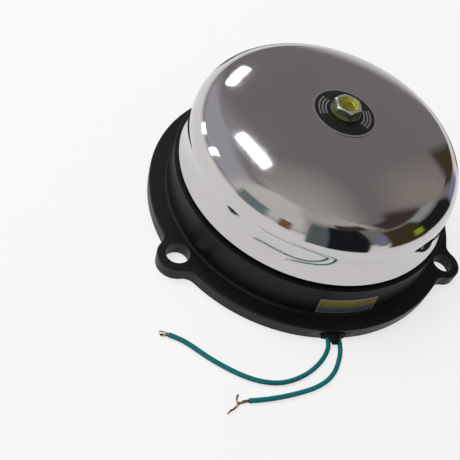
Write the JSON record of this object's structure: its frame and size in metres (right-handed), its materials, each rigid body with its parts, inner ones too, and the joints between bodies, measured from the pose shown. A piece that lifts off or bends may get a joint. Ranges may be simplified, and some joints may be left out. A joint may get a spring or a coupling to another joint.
{
  "type": "under-dome electric bell",
  "caption": "Round electric bell: polished steel gong over a shallow black cup with fixing lugs, a trembler hammer on a leaf-spring armature inside, two bare-ended leads",
  "frame": {"origin": "gong axis at the wall face, the plane the foot ring rests on", "axes": "+Z out of the wall along the gong bolt; -Y is the side where the leads leave; lugs at 90, 210 and 330 degrees"},
  "size_m": [0.1748, 0.2235, 0.0777],
  "materials": {
    "black_moulding": "semi-gloss black",
    "black_rubber": "dull black",
    "bright_gong": "polished plated steel",
    "yellow_zinc": "yellow passivated zinc",
    "bright_zinc": "bright zinc",
    "soft_iron": "plain iron, lightly oiled",
    "spring_steel": "blued spring steel",
    "spring_bronze": "phosphor bronze strip",
    "brass_parts": "turned brass",
    "silver_contact": "bright silver",
    "bobbin_moulding": "natural nylon",
    "enamelled_winding": "enamelled copper wire, gloss",
    "phenolic": "brown laminated sheet",
    "terminal_moulding": "natural nylon",
    "green_insulation": "smooth teal-green PVC",
    "inner_insulation": "smooth black PVC",
    "bare_copper": "bare copper strands",
    "label_film": "printed foil, plain fields",
    "printed_disc": "black printed aluminium with silver rings"
  },
  "bodies": {
    "bell_base": {"armature_spring": "spring_steel", "base_housing": "black_moulding", "cable_grommet": "black_rubber", "centre_pillar": "bright_zinc", "coil_bobbin_far": "bobbin_moulding", "coil_bobbin_near": "bobbin_moulding", "coil_lead": "inner_insulation", "coil_link": "inner_insulation", "coil_winding_far": "enamelled_winding", "coil_winding_near": "enamelled_winding", "contact_block": "phenolic", "contact_block_screws": "bright_zinc", "contact_bracket": "brass_parts", "contact_lead": "inner_insulation", "contact_lock_nut": "brass_parts", "contact_screw": "brass_parts", "core_screws": "bright_zinc", "frame_lead": "inner_insulation", "frame_screws": "bright_zinc", "gong": "bright_gong", "gong_bolt": "yellow_zinc", "gong_cushion": "black_rubber", "gong_washer": "yellow_zinc", "hinge_clamp": "bright_zinc", "hinge_clamp_screws": "bright_zinc", "label_disc": "printed_disc", "magnet_core_far": "soft_iron", "magnet_core_near": "soft_iron", "magnet_yoke": "soft_iron", "mechanism_frame": "bright_zinc", "pillar_screw": "bright_zinc", "side_label": "label_film", "strands_long": "bare_copper", "strands_short": "bare_copper", "supply_lead_left": "green_insulation", "supply_lead_right": "green_insulation", "supply_wire_long": "green_insulation", "supply_wire_short": "green_insulation", "terminal_block": "terminal_moulding", "terminal_fixing_screw": "bright_zinc", "terminal_screws": "bright_zinc", "terminal_tubes": "brass_parts"},
    "striker": {"armature": "soft_iron", "armature_rivets": "bright_zinc", "contact_rivets": "brass_parts", "hammer_rod": "bright_zinc", "hammer_head": "brass_parts", "contact_spring": "spring_bronze", "contact_button": "silver_contact"}
  },
  "joints": [
    {"name": "armature_hinge", "type": "hinge", "parent": "bell_base", "child": "striker", "pos_m": [-0.0035, 0.04605, 0.0235], "axis": [0, 0, -1], "range_deg": [0, 3.5], "stiffness_Nm_per_rad": 0.6, "deforming": ["armature_spring"]}
  ]
}
